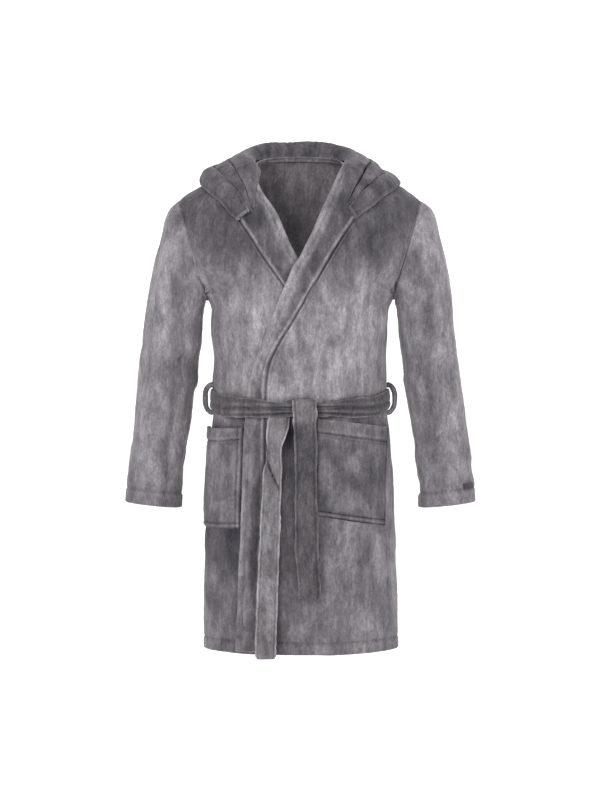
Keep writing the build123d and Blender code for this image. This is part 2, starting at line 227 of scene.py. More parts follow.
def no_lift(z, x):
    return 0 * z * x


def belt_height(y):
    return BELT_Z - BELT_DIP * ease(-y, 0, 100)


# ---- Cloth relief


def folds(p):
    """How far the cloth stands out from the plain surface, in soft folds."""
    x, y, z = p[..., 0], p[..., 1], p[..., 2]
    near = z - belt_height(y)
    skirt = ease(z, -500, -900)
    out = 6.0 * skirt * lump(p, (52, 52, 620), 3) + 2.6 * skirt * lump(p, (24, 24, 340), 5)
    out = out + 2.6 * lump(p, (95, 95, 170), 1)
    # gathers that the belt draws in, above and below it
    up = ease(near, 12, 20) * np.exp(-np.clip(near, 0, None) / 62)
    down = ease(-near, 12, 20) * np.exp(near / 48 * (near < 0))
    out = out + up * (5.2 * lump(p, (14, 14, 150), 11) + 5.5 * bump(near, 46, 34))
    out = out + down * (3.6 * lump(p, (13, 13, 110), 12) + 2.0)
    out = out - 2.4 * bump(near, 0, 20)
    # drag lines from the underarms towards the knot
    for side in (-1, 1):
        run = np.array([side * 175.0, -235.0]) - np.array([side * 20.0, -470.0])
        run = run / np.linalg.norm(run)
        a = x * run[0] + z * run[1]
        b = -x * run[1] + z * run[0]
        q = np.stack([a, b, y * 0.2], -1)
        zone = ease(z, -440, -330) * ease(z, -120, -230) * ease(side * x, -10, 70) * (y < 30)
        out = out + 4.2 * zone * lump(q, (230, 30, 200), 21 + side)
    # crumple by the armholes
    for side in (-1, 1):
        d = np.sqrt((side * x - ARM[0]) ** 2 + (z - ARM[1]) ** 2)
        q = np.stack([np.arctan2(z - ARM[1], side * x - ARM[0]) * 60, d, y * 0.5], -1)
        out = out + 4.5 * np.exp(-d / 75) * lump(q, (17, 130, 60), 31 + side)
    out = out + 0.9 * lump(p, (17, 17, 34), 41)
    return out - 4.6 * bump(z, -278, 20) * ease(np.abs(x), 145, 176)


def cast(p):
    """Large soft differences of tone: darker over the shoulders and lighter down the chest, partly the pile's
    own lie and partly painted shade; random streaks and mottling; a darker skirt; and painted shade in the
    gathers at the sides and beside the front band.
    """
    x, y, z = p[..., 0], p[..., 1], p[..., 2]
    edge = z + 0.20 * np.abs(np.abs(x) - 110) - 46 * ease(np.abs(x), 145, 195)
    edge = edge + 26 * lump(p, (30, 60, 200), 144)
    # painted shade over the shoulders, partly the pile's own lie
    yoke = 1 - 0.66 * ease(edge, -285, -130)
    skirt = 1 - 0.50 * ease(z, -470, -520) + 0.12 * ease(z, -640, -900)
    skirt = skirt + 0.10 * ease(x, 20, 130) * ease(z, -500, -600)
    streak = 1 + 0.09 * lump(p, (9, 9, 110), 141) + 0.08 * lump(p, (26, 26, 190), 142)
    # random mottling, and the skirt darker on the wearer's right
    mottling = 1 + 0.34 * lump(p, (44, 44, 46), 143) * ease(z, -330, -540) + 0.12 * lump(p, (22, 22, 34), 145)
    mottling = mottling - 0.42 * ease(-x, 60, 130) * ease(z, -490, -540) * (1 - ease(z, -760, -900))
    # painted shade at the sides under the sleeves and by the belt, and in the folds above the belt in front
    sides = ease(np.abs(x), 118, 165) * (0.38 * bump(z, -428, 46) + 0.10 * bump(z, -335, 60))
    gathers = sides + 0.16 * bump(x, 69, 26) * bump(z, -412, 34)
    gathers = gathers + 0.26 * bump(x, -30, 17) * bump(z, -372, 44)
    gathers = gathers + 0.22 * bump(x, 18, 22) * bump(z, -300, 45)
    return yoke * skirt * streak * mottling * (1 - gathers * (y < 0))


def nap(p):
    """The pile's own small unevenness, in mm."""
    return 0.5 * lump(p, (5.5, 5.5, 9), 51) + 0.22 * lump(p, (2.8, 2.8, 4), 52)


def seam(d, depth=2.6, width=3.6):
    """The groove of a seam at distance d from it, and a row of stitches beside it."""
    return -depth * np.exp(-(d / width) ** 2) - 0.7 * bump(d, 8.0, 1.7) + 0.5 * bump(d, 5, 2)


def seam_tone(d):
    """The same seam as a change of tone."""
    return -0.50 * np.exp(-(d / 2.2) ** 2) - 0.14 * bump(d, 8.0, 1.8) + 0.26 * bump(d, 4.4, 1.9)


# ---- Meshes


def link_object(name, data):
    o = bpy.data.objects.new(name, data)
    bpy.context.scene.collection.objects.link(o)
    return o


def make(name, verts, faces, tone):
    """A smooth closed mesh from points in mm, with a tone at each point for the material."""
    mesh = bpy.data.meshes.new(name)
    mesh.from_pydata((np.asarray(verts, float).reshape(-1, 3) * 0.001).tolist(), [], faces)
    mesh.validate()
    solid = bmesh.new()
    solid.from_mesh(mesh)
    if solid.calc_volume(signed=True) < 0:
        mesh.flip_normals()
    solid.free()
    mesh.update()
    mesh.polygons.foreach_set("use_smooth", [True] * len(mesh.polygons))
    layer = mesh.attributes.new("tone", "FLOAT", "POINT")
    layer.data.foreach_set("value", np.asarray(tone, float).reshape(-1).astype(np.float32))
    return link_object(name, mesh)


def quads(a, b, c, d):
    return np.stack([a, b, c, d], -1).reshape(-1, 4)


def strip(a, b):
    """Quads between two rows of points, or between each pair of rows in two grids."""
    return quads(a[..., :-1], b[..., :-1], b[..., 1:], a[..., 1:])


def shell(name, outer, inner, tone, loop=False, inner_tone=None, round_rim=0.5):
    """A closed sheet from its outer and inner faces, both rows by columns. loop joins the columns' ends."""
    rows, cols = outer.shape[:2]
    n = rows * cols
    thick = np.linalg.norm(outer - inner, axis=-1)[..., None]

    def rim(edge_o, edge_i, next_o, t):
        return (edge_o + edge_i) / 2 + unit(edge_o - next_o) * t * round_rim

    parts = [outer.reshape(-1, 3), inner.reshape(-1, 3)]
    # the inner face is darker: painted shade
    tones = [tone.reshape(-1), (tone * 0.86 if inner_tone is None else inner_tone).reshape(-1)]
    top = rim(outer[0], inner[0], outer[1], thick[0])
    low = rim(outer[-1], inner[-1], outer[-2], thick[-1])
    parts += [top, low]
    # rims lighter: painted highlight
    tones += [tone[0] * 1.08, tone[-1] * 1.08]
    o = np.arange(n).reshape(rows, cols)
    i = o + n
    t, b = 2 * n + np.arange(cols), 2 * n + cols + np.arange(cols)
    if loop:
        o, i = (np.hstack([g, g[:, :1]]) for g in (o, i))
        t, b = (np.append(g, g[0]) for g in (t, b))
    faces = [strip(o[:-1], o[1:]), quads(i[:-1, :-1], i[:-1, 1:], i[1:, 1:], i[1:, :-1]),
             strip(t, o[0]), strip(i[0], t), strip(o[-1], b), strip(b, i[-1])]
    if not loop:
        parts += [rim(outer[:, 0], inner[:, 0], outer[:, 1], thick[:, 0]),
                  rim(outer[:, -1], inner[:, -1], outer[:, -2], thick[:, -1])]
        # rims lighter: painted highlight
        tones += [tone[:, 0] * 1.08, tone[:, -1] * 1.08]
        s = 2 * n + 2 * cols + np.arange(rows)
        e = s + rows
        faces += [
            quads(s[:-1], s[1:], o[1:, 0], o[:-1, 0]), quads(i[:-1, 0], i[1:, 0], s[1:], s[:-1]),
            quads(o[:-1, -1], o[1:, -1], e[1:], e[:-1]), quads(e[:-1], e[1:], i[1:, -1], i[:-1, -1]),
            np.array([[t[0], i[0, 0], s[0], o[0, 0]], [o[0, -1], e[0], i[0, -1], t[-1]],
                      [o[-1, 0], s[-1], i[-1, 0], b[0]], [b[-1], i[-1, -1], e[-1], o[-1, -1]]]),
        ]
    return make(name, np.vstack(parts), np.vstack(faces).tolist(), np.concatenate(tones))


def strap(name, centre, across, out, half_wide, half_thick, relief=None, around=40, power=3.2, tone=1.0):
    """A soft strap along a path, with rounded ends.

    relief gives height in mm and tone from a ring's points and their shares across and out."""
    n = len(centre)
    half_wide = np.broadcast_to(half_wide, n).astype(float)
    half_thick = np.broadcast_to(half_thick, n).astype(float)
    a = np.linspace(0, 2 * math.pi, around, endpoint=False)
    cx, sx = signed(np.cos(a), 2 / power), signed(np.sin(a), 2 / power)
    across, out = unit(across), unit(out)
    ring = (centre[:, None] + across[:, None] * (half_wide[:, None] * cx)[..., None]
            + out[:, None] * (half_thick[:, None] * sx)[..., None])
    normal = unit(across[:, None] * (cx * 0.35)[None, :, None] + out[:, None] * sx[None, :, None])
    tones = np.ones(ring.shape[:2])
    if relief is not None:
        d, extra = relief(ring, cx, sx)
        ring = ring + normal * d[..., None]
        tones = tones + extra
    tones = tones * tone

    def cap(edge, before, thick):
        mid = edge.mean(0)
        push = unit((edge - before).mean(0)) * thick
        steps = ((0.985, 0.45), (0.95, 0.8), (0.88, 1.0))
        return np.stack([mid + (edge - mid) * k + push * p for k, p in steps])

    first, last = cap(ring[0], ring[1], half_thick[0])[::-1], cap(ring[-1], ring[-2], half_thick[-1])
    ring = np.concatenate([first, ring, last])
    tones = np.concatenate([np.tile(tones[0], (3, 1)), tones, np.tile(tones[-1], (3, 1))])
    g = np.arange(len(ring) * around).reshape(-1, around)
    nx = np.roll(g, -1, axis=1)
    faces = quads(g[:-1], g[1:], nx[1:], nx[:-1]).tolist()
    for row, flip in ((g[0].tolist(), False), (g[-1].tolist(), True)):
        # close each end across the strap's width, in quads between its two faces
        for k in range(around // 2):
            face = list(dict.fromkeys([row[k], row[k + 1], row[-(k + 1)], row[-k]]))
            faces.append(face[::-1] if flip else face)
    return make(name, ring, faces, tones)


# ---- Materials


def add_node(tree, kind, inputs, output=0, **settings):
    """The output of a new shader node. Its inputs are values or other nodes' outputs."""
    made = tree.nodes.new("ShaderNode" + kind)
    for key, value in settings.items():
        setattr(made, key, value)
    for key, value in inputs.items():
        if isinstance(value, bpy.types.NodeSocket):
            tree.links.new(value, made.inputs[key])
        else:
            made.inputs[key].default_value = value
    return made.outputs[output]


def new_material(name):
    m = bpy.data.materials.new(name)
    m.use_nodes = True
    m.node_tree.nodes.clear()
    return m, m.node_tree


def set_surface(tree, surface):
    tree.links.new(surface, tree.nodes.new("ShaderNodeOutputMaterial").inputs[0])


def fleece(name, colour, streak=1.0):
    """Short plush pile: brushed patches that lean different ways, a fine tufted grain and a soft sheen."""
    m, t = new_material(name)
    where = add_node(t, "TexCoord", {}, "Object")

    def noise(scale, stretch, detail=3.0, rough=0.55, warp=0.0):
        at = add_node(t, "Mapping", {"Vector": where, "Scale": stretch})
        return add_node(t, "TexNoise", {"Vector": at, "Scale": scale, "Detail": detail, "Roughness": rough,
                                    "Distortion": warp})

    def ramp(value, start, end, low, high):
        return add_node(t, "MapRange", {"Value": value, "From Min": start, "From Max": end, "To Min": low,
                                    "To Max": high}, interpolation_type="SMOOTHSTEP")

    def maths(op, x, y):
        return add_node(t, "Math", {0: x, 1: y}, operation=op)

    patch = ramp(noise(52 * streak, (1, 1, 0.30), 4, 0.62, 0.3), 0.28, 0.72, 0.74, 1.26)
    blot = ramp(noise(27 * streak, (1, 1, 0.7), 4, 0.62, 0.7), 0.32, 0.68, 0.79, 1.17)
    slow = ramp(noise(11, (1, 1, 0.6), 3, 0.5, 0.3), 0.25, 0.75, 0.88, 1.12)
    tuft = ramp(noise(430, (1, 1, 0.6), 2, 0.6), 0.25, 0.75, 0.84, 1.16)
    speck = ramp(noise(200, (1, 1, 0.45), 3, 0.65, 0.2), 0.28, 0.72, 0.80, 1.20)
    shade = maths("MULTIPLY", maths("MULTIPLY", patch, slow), maths("MULTIPLY", tuft, speck))
    shade = maths("MULTIPLY", shade, blot)
    # the tone attribute carries painted light and shade along with seams, stitching and random tone
    shade = maths("MULTIPLY", shade, add_node(t, "Attribute", {}, "Fac", attribute_name="tone"))
    mix = add_node(t, "VectorMath", {0: colour, "Scale": shade}, operation="SCALE")
    # dark pile looks a little bluer
    darkness = maths("MAXIMUM", maths("SUBTRACT", 1.0, shade), 0.0)
    cool = add_node(t, "VectorMath", {0: (0.0, 0.0, 0.035 * colour[2]), "Scale": darkness}, operation="SCALE")
    pile = maths("ADD", maths("MULTIPLY", noise(330, (1, 1, 0.6), 3, 0.65), 0.55),
                 maths("MULTIPLY", noise(95, (1, 1, 0.6), 3, 0.6, 0.4), 0.9))
    cloth = add_node(t, "BsdfPrincipled", {
        "Base Color": add_node(t, "VectorMath", {0: mix, 1: cool}),
        "Roughness": 0.95,
        "Specular IOR Level": 0.12,
        "Sheen Weight": 0.24,
        "Sheen Roughness": 0.42,
        "Sheen Tint": (0.93, 0.90, 0.93, 1),
        "Normal": add_node(t, "Bump", {"Strength": 0.62, "Distance": 0.0032, "Height": pile}),
    })
    set_surface(t, cloth)
    return m


def woven(name, colour, rough=0.7, scale=900.0):
    """Tape or satin with a fine diagonal weave."""
    m, t = new_material(name)
    where = add_node(t, "TexCoord", {}, "Object")
    wave = add_node(t, "TexWave", {"Vector": where, "Scale": scale, "Distortion": 1.2},
                    bands_direction="DIAGONAL")
    ramp = t.nodes.new("ShaderNodeValToRGB")
    for end, factor in zip(ramp.color_ramp.elements, (0.72, 1.2)):
        end.color = (*[min(1, c * factor) for c in colour], 1)
    t.links.new(wave, ramp.inputs[0])
    set_surface(t, add_node(t, "BsdfPrincipled", {
        "Base Color": ramp.outputs[0],
        "Roughness": rough,
        "Sheen Weight": 0.2,
        "Normal": add_node(t, "Bump", {"Strength": 0.4, "Distance": 0.0006, "Height": wave}),
    }))
    return m


plush = fleece("plush", GREY)
# darker copies of the same plush for the bands and the belt: painted shade
shaded_band_plush = fleece("shaded_band_plush", tuple(c * 0.76 for c in GREY), streak=1.1)
shaded_belt_plush = fleece("shaded_belt_plush", tuple(c * 0.50 for c in GREY), streak=1.3)
tape = woven("neck_tape", (0.10, 0.095, 0.105))
black_label = woven("label_black", (0.012, 0.012, 0.013), 0.55, 1400)
white_satin = woven("care_white", (0.72, 0.72, 0.70), 0.45, 1500)


def finish_piece(o, material, on, nodes, blend=None):
    """Give a piece its material and hide the CAD nodes it replaces, then parent it to the body on. Given
    blend, it is left unparented with its transform baked; blend's two bodies and where it blends are not
    used.
    """
    o.data.materials.clear()
    o.data.materials.append(material)
    if nodes:
        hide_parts(*nodes)
    if blend is None:
        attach(o, on)
    else:
        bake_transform(o)
    return o


# ---- Panels of the body


def along_rows(p):
    """Distance along each row from its start, and to its end."""
    step = np.linalg.norm(np.diff(p, axis=1), axis=-1)
    d = np.concatenate([np.zeros((p.shape[0], 1)), np.cumsum(step, 1)], 1)
    return d, d[:, -1:] - d


def along_cols(p):
    d, left = along_rows(np.swapaxes(p, 0, 1))
    return d.T, left.T


def z_rows(top, bottom):
    """Heights from top to bottom, closer over the shoulders and at the underarm."""
    shoulder = -66.0
    fine = np.arange(top, shoulder, -2.2)
    rest = np.arange(shoulder, bottom, -4.0)
    underarm = np.arange(-254, -233, 0.9)
    return np.unique(np.concatenate([fine, rest, underarm, [bottom]]))[::-1]


def panel(name, zs, first, last, cols, lift):
    """A panel of the body between two turns at each height; lift is of (z, x) in mm."""
    z = zs[:, None]
    share = np.linspace(0, 1, cols)[None]
    turn = first[:, None] + (last - first)[:, None] * share
    base = body(z, turn)
    n = outward(z, turn)
    d0, d1 = along_rows(base)
    e1 = along_cols(base)[1]
    out = lift(z, base[..., 0]) + folds(base) + nap(base)
    tone = np.ones_like(out)
    keep = 1 - bump(z, ARM[1], 16)  # no seam's groove at the underarm
    for d in (d0, d1):
        out = out + seam(d) * keep
        tone = tone + seam_tone(d) * keep
    out = out + 1.0 * ease(e1, 22, 15) - 1.5 * bump(e1, 21, 2.4)
    tone = tone - 0.30 * bump(e1, 21, 2.6) + 0.08 * bump(e1, 15, 4)
    outer = base + n * out[..., None]
    inner = outer - n * CLOTH
    near = z - belt_height(base[..., 1])
    # painted shade from cast(), and a painted shadow just below the belt
    tone = tone * cast(base) - 0.16 * np.exp(-np.clip(-near - 14, 0, None) / 9) * (near < 0)
    if "left_front" in name:
        # painted shade on the left front beside its band, down to the belt
        tone = tone - 0.26 * np.exp(-d1 / 17) * ease(z, -440, -380) * ease(z, -120, -200)
    if "front" in name:
        # shade that the hanging belt ends throw on the skirt
        right = -41.5 - 23.5 * (-503 - z) / 449
        for middle, end in ((KNOT_X, -852), (right, -960)):
            beside = ((np.abs(base[..., 0] - middle) - 22) / 16).clip(0)
            tone = tone - 0.11 * np.exp(-beside**2) * ease(z, end - 10, end + 14) * (z < -470)
    # the inside gets painted shade, darker than the outside
    return shell(name, outer, inner, tone, inner_tone=0.86 + 0.12 * lump(base, (12, 12, 120), 146))


def panels():
    zs = z_rows(TOP, HEM)
    front_arm, back_arm = armhole_turn(zs, True, 3.0), armhole_turn(zs, False, 3.0)
    seam_left = turn_at(zs, through(LEFT_SEAM, zs)[:, 0] + 0.6)
    seam_right = turn_at(zs, through(RIGHT_SEAM, zs)[:, 0] - 0.6)
    back = panel("robe_back", zs, back_arm + 0.15, 179.85 - back_arm, 230, no_lift)
    left = panel("robe_left_front", zs, front_arm - 0.15, seam_left, 170, lap)
    right = panel("robe_right_front", zs, seam_right, -180.0 - front_arm + 0.15, 150, no_lift)
    for o, node in ((back, "back_panel"), (left, "left_front_panel"), (right, "right_front_panel")):
        finish_piece(o, plush, "robe", [node])


def front_band(name, seam_rows, edge_rows, lift, top, bottom, thick, left):
    """A doubled band down the front, puffed between its seam and its rolled free edge."""
    zs = np.unique(np.concatenate([np.arange(top, bottom, -3.0), [bottom]]))[::-1]
    xs, xe = through(seam_rows, zs)[:, 0], through(edge_rows, zs)[:, 0]
    gap = -0.6 if left else 0.6
    share = np.linspace(0, 1, 30)[None]
    z = zs[:, None]
    x = (xs + gap)[:, None] + (xe - xs - gap)[:, None] * share
    turn = turn_at(z, x)
    base = body(z, turn)
    n = outward(z, turn)
    d0, d1 = along_rows(base)
    e1 = along_cols(base)[1]
    # at the waist the belt squeezes the band flat
    squeeze = bump(z, KNOT_Z, 30)
    lift = lift - (6.0 * ease(z, -130, -60) if left else 0.0) - 2.0 * ease(z, -80, -20)
    pillow = 2.8 * (1 - np.abs(2 * share - 1) ** 3)
    roll = 1.8 * bump(d1, 4.5, 4) - 1.5 * bump(d1, 11.5, 2.0)
    soft = 1.6 * lump(base, (30, 30, 46), 61) + 1.0 * lump(base, (12, 12, 70), 62)
    out = lift + (pillow + roll + soft) * (1 - 0.6 * squeeze) + 0.45 * folds(base) + nap(base) + seam(d0, 3.0)
    out = out - 2.6 * squeeze - 1.4 * bump(e1, 26, 2.4)
    # the rolled free edge is lighter: painted highlight
    tone = 1 + seam_tone(d0) - 0.16 * bump(d1, 11.5, 2.2) + 0.24 * bump(d1, 2.5, 4) - 0.2 * bump(e1, 26, 2.6)
    outer = base + n * out[..., None]
    inner = base + n * (lift - thick + 0.25 * folds(base))[..., None]
    # painted shade over the band's puffed middle, deeper in patches, leaving its edges light; darker further
    # down
    middle = ease(d0, 4, 12) * ease(d1, 13, 27)
    middle_shade = 0.56 + 0.24 * lump(base, (16, 16, 44), 66) + 0.16 * ease(z, -300, -150)
    tone = tone * (1.20 - middle_shade * middle) * (1 - 0.14 * ease(z, -300, -150) - 0.28 * ease(z, -430, -540))
    tone = tone * (1 + 0.12 * lump(base, (20, 20, 120), 63) + 0.10 * lump(base, (12, 12, 30), 64))
    return shell(name, outer, inner, tone, round_rim=0.42)


def bands():
    left = front_band("left_front_band_plush", LEFT_SEAM, LEFT_EDGE, 8.5, 6.0, HEM + 6, 5.0, True)
    right = front_band("right_front_band_plush", RIGHT_SEAM, RIGHT_EDGE, 0.4, 2.0, HEM + 2, 4.0, False)
    finish_piece(left, shaded_band_plush, "robe", ["left_front_band"])
    finish_piece(right, shaded_band_plush, "robe", ["right_front_band"])


# ---- Sleeves


def armhole_ring(angles):
    """Radius of the body's cut at the armhole's plane, for angles in that plane about its middle."""
    zs = np.linspace(-63.5, -248.8, 220)
    front = body(zs, armhole_turn(zs, True))
    back = body(zs, armhole_turn(zs, False))
    middle = np.array([(TIP[0] + ARM[0]) / 2, 0, (TIP[1] + ARM[1]) / 2])
    up = unit(np.array([TIP[0] - ARM[0], 0, TIP[1] - ARM[1]]))
    pts = np.vstack([front, back[::-1]]) - middle
    u, v = pts @ up, pts[:, 1]
    angle, radius = np.arctan2(v, u), np.hypot(u, v)
    order = np.argsort(angle)
    angle, radius = angle[order], radius[order]
    angle = np.concatenate([angle - 2 * math.pi, angle, angle + 2 * math.pi])
    return np.interp(angles, angle, np.tile(radius, 3))


def sleeve(side):
    """One sleeve; side is 1 for the left one and -1 for the right one. Its outer points are returned."""
    rows = [[-k, *o, *i, d] for k, (o, i, d) in enumerate(SLEEVE)]
    t = np.linspace(0, len(SLEEVE) - 1, 1200)
    track = through(rows, -t)
    mids = np.stack([(track[:, 0] + track[:, 2]) / 2, (track[:, 1] + track[:, 3]) / 2], -1)
    run = distance(mids)
    length = run[-1]
    s = np.arange(0, length, 3.4)
    s = np.append(s, length)
    track = through(rows, -np.interp(s, run, t))
    o = np.stack([track[:, 0], 0 * s, track[:, 1]], -1)
    i = np.stack([track[:, 2], 0 * s, track[:, 3]], -1)
    middle, across = (o + i) / 2, (o - i) / 2
    half = np.linalg.norm(across, axis=1)
    across = unit(across)
    phi = np.linspace(0, 2 * math.pi, 190, endpoint=False)
    cx, sx = signed(np.cos(phi), 2 / 2.2), signed(np.sin(phi), 2 / 2.2)
    u, v = half[:, None] * cx, track[:, 4][:, None] * sx
    ang = np.arctan2(v[0], u[0])
    radius = armhole_ring(ang)
    w = ease(s, 0, 46)[:, None]
    u = (1 - w) * (radius * np.cos(ang)) + w * u
    v = (1 - w) * (radius * np.sin(ang)) + w * v
    base = middle[:, None] + across[:, None] * u[..., None]
    base[..., 1] += v
    # outward normals from the grid itself
    du = np.roll(base, -1, axis=1) - np.roll(base, 1, axis=1)
    dv = np.gradient(base, axis=0)
    n = unit(np.cross(du, dv))
    n = n * np.where(np.sum(n * (base - middle[:, None]), -1, keepdims=True) < 0, -1, 1)
    # relief: long soft folds, creases from the underarm, a gentle bend at the elbow, crumple at the cuff
    S = s[:, None] + 0 * phi[None]
    seed = 70 if side > 0 else 80
    turned = np.cos(phi)[None]  # 1 on the outer side, -1 on the inner one
    cyl = np.stack([turned * GIRTH + 0 * S, np.sin(phi)[None] * GIRTH + 0 * S, S], -1)
    inner_side = 0.5 - 0.5 * turned
    outer_side = 0.4 + 0.6 * np.maximum(0, turned)
    out = 3.4 * lump(cyl, (46, 46, 190), seed) + 2.2 * lump(cyl, (26, 26, 90), seed + 1)
    slant = np.stack([cyl[..., 0], cyl[..., 1], S - 0.55 * GIRTH * turned], -1)
    elbow = np.exp(-((S - 250) / 95) ** 2) * (0.35 + 0.65 * inner_side)
    out = out + 4.0 * elbow * lump(slant, (90, 90, 26), seed + 2)
    out = out + 3.0 * np.exp(-S / 90) * inner_side * lump(slant, (26, 26, 60), seed + 3)
    out = out - 4.2 * inner_side**3 * bump(S, 30, 24)
    out = out + 2.6 * ease(S, length - 190, length - 60) * lump(slant, (70, 70, 30), seed + 4)
    out = out * ease(S, 0, 26) * (1 - 0.8 * ease(S, length - 34, length - 16))
    out = out + 1.6 * bump(S, 16, 12) * outer_side
    pile = nap(base + np.array([700.0 * side, 0, 0]))
    out = out + 0.9 * lump(base + np.array([0, 0, 300.0 * side]), (17, 17, 34), 42) + pile
    hem = length - CUFF_HEM
    out = out + 1.2 - 1.5 * np.exp(-(S / 3.0) ** 2)
    out = out + 1.3 * ease(S, hem, length - 22) - 1.7 * bump(S, hem, 2.2)
    tone = 1 + 0.8 * seam_tone(S) - 0.24 * bump(S, hem, 2.6) + 0.07 * bump(S, length - 20, 4)
    tone = tone * (1 + 0.06 * lump(cyl, (16, 16, 110), seed + 5) + 0.06 * lump(cyl, (40, 40, 120), seed + 6))
    # darker towards the cuff and from the elbow down, with painted shade on the inner side by the armhole
    tone = tone * (1 - 0.16 * ease(S, length - 80, length - 20)) * (1 - 0.22 * inner_side * np.exp(-S / 160))
    tone = tone * (0.97 - 0.17 * ease(S, 120, 260)) * (1 + 0.13 * lump(cyl, (24, 24, 50), seed + 7))
    # a painted shadow down the sleeve's front, where a set-in sleeve's fold would shade it
    lean = turned + 0.10 * lump(cyl, (50, 50, 60), seed + 8)
    streak = bump(lean, -0.02 - 0.30 * ease(S, 150, 260), 0.27)
    tone = tone * (1 - 0.34 * streak * ease(S, 0, 22) * (1 - 0.8 * ease(S, 420, 500)))
    # painted shade at the sleeve's top by the shoulder
    tone = tone * (1 - 0.22 * np.exp(-S / 26) * outer_side)
    # the sleeve's own seam runs down its inner back
    under = np.abs(((phi[None] - math.pi + 0.25) + math.pi) % (2 * math.pi) - math.pi) * half[:, None]
    out = out - 1.8 * np.exp(-(under / 3.2) ** 2)
    tone = tone - 0.25 * np.exp(-(under / 2.6) ** 2)
    outer = base + n * out[..., None]
    inner = outer - n * (CLOTH + 0.6 * ease(S, length - 34, length - 24))[..., None]
    if side < 0:
        outer, inner = outer * np.array([-1, 1, 1]), inner * np.array([-1, 1, 1])
        outer, inner, tone = outer[:, ::-1], inner[:, ::-1], tone[:, ::-1]
    name = NAMES[side]
    obj = shell(f"{name}_sleeve_plush", outer, inner, tone, loop=True)
    start = Vector((side * 0.2135, 0, -0.156))
    end = start + Vector((side * 0.961, 0, -0.276)) * 0.07
    finish_piece(obj, plush, None, [f"{name}_sleeve"], (("robe", f"{name}_sleeve"), start, end))
    return outer


# ---- Pockets


def pocket(name, node, first, last, base_lift, top, bottom,
           top_drop=0.0, bottom_rise=0.0, gape=0.0, hem=25, shade=0.53):
    """A patch pocket. top_drop and bottom_rise slant its edges; gape opens the top at its outer corner."""
    rows = np.unique(np.concatenate([np.linspace(0, 1, 76), [0.001, 0.999]]))
    share = np.linspace(0, 1, 70)[None]
    down = rows[:, None]
    outside = (1 - share) if "left" in name else share  # 0 at the front edge, 1 at the side seam
    curve = 6.0 * np.sin(math.pi * share)
    z_top = top - top_drop * outside - 0.5 * curve
    z_low = bottom + bottom_rise * (1 - outside) - 0.4 * curve
    z = z_top + (z_low - z_top) * down
    a, b = first(z[:, 0])[:, None], last(z[:, -1])[:, None]
    turn = a + (b - a) * share
    base = body(z, turn)
    n = outward(z, turn)
    d0, d1 = along_rows(base)
    e0, e1 = along_cols(base)
    # the left one's front edge lies behind the belt's end
    side = d0 if "left" in name else np.minimum(d0, d1)
    belly = np.sin(math.pi * np.clip(share, 0, 1)) ** 0.7 * ease(e1, 0, 70)
    open_ = 5.5 * belly * (0.35 + 0.65 * ease(e0, 150, 0)) + gape * outside**2 * np.exp(-e0 / 30)
    out = base_lift(z, base[..., 0]) + 4.4 + open_ + 0.8 * folds(base) + nap(base + 300.0)
    out = out + 2.2 * lump(base, (30, 30, 60), 91) * belly
    out = out + 1.2 * lump(base, (70, 70, 26), 92) * np.exp(-e0 / 40)
    # drag from the front corner down to the side
    ridge = (base[..., 2] - top) + 1.1 * np.abs(base[..., 0]) - 20
    out = out + 2.4 * belly * bump(ridge, 0, 16) - 1.8 * belly * bump(ridge, -34, 14)
    line = hem - 4.0 * (1 - outside)
    out = out + 1.2 * ease(e0 - line, 0, -6) - 2.0 * bump(e0 - line, 0, 2.0) - 1.0 * bump(e0 - line, 6.5, 1.6)
    tone = shade + 0.16 * lump(base, (30, 30, 44), 93) + 0.07 * lump(base, (11, 11, 60), 94) + 0 * z
    tone = tone - 0.26 * bump(e0 - line, 0, 2.0) - 0.12 * bump(e0 - line, 6.5, 1.6)
    # painted highlight along the top edge and above the hem's stitching; painted light and shade on the drag
    # fold
    tone = tone + 0.14 * bump(e0, 1, 5) + 0.12 * bump(e0 - line, -4.5, 2.6)
    tone = tone + 0.12 * belly * bump(ridge, 6, 16) - 0.12 * belly * bump(ridge, -34, 14)
    for d in (side, e1):
        out = out - 3.4 * np.exp(-(d / 2.6) ** 2) - 1.8 * bump(d, 9.5, 1.8) + 0.8 * bump(d, 5, 2.4)
        tone = tone - 0.30 * np.exp(-(d / 2.0) ** 2) - 0.26 * bump(d, 9.5, 1.7) + 0.16 * bump(d, 5.2, 2.2)
    outer = base + n * out[..., None]
    inner = outer - n * 3.4
    o = shell(name, outer, inner, tone)
    finish_piece(o, plush, "robe", [node])


# ---- Belt


def belt_lift(x, y):
    """How far the belt lies off the body: more in front, over both fronts and their bands."""
    over = np.where(y < 0, (1 - ease(x, 116, 166)) * ease(x, -158, -122), 0)
    return 1.5 + 10.6 * over


def strap_relief(seed, wrinkle=1.0, crease=1.0):
    """Wrinkles for a strap, a stitched crease near each edge, and a painted highlight along each edge."""

    def relief(p, cx, sx):
        d = wrinkle * (1.3 * lump(p, (18, 18, 18), seed) + 0.7 * lump(p, (8, 8, 8), seed + 1)) + nap(p)
        both = np.abs(sx)[None] ** 0.5
        soft = 1 + 0.05 * lump(p, (60, 60, 60), seed + 2)
        d = d - crease * 1.3 * both * bump(np.abs(cx)[None] * soft, 0.76, 0.055)
        # the stitched crease darker; a painted highlight along each edge
        tone = (-0.34 * crease * both * bump(np.abs(cx)[None] * soft, 0.76, 0.055)
                + 0.70 * ease(np.abs(cx), 0.80, 0.98)[None] + 0.20 * lump(p, (22, 22, 44), seed + 4))
        return d, tone + 0 * p[..., 0]

    return relief


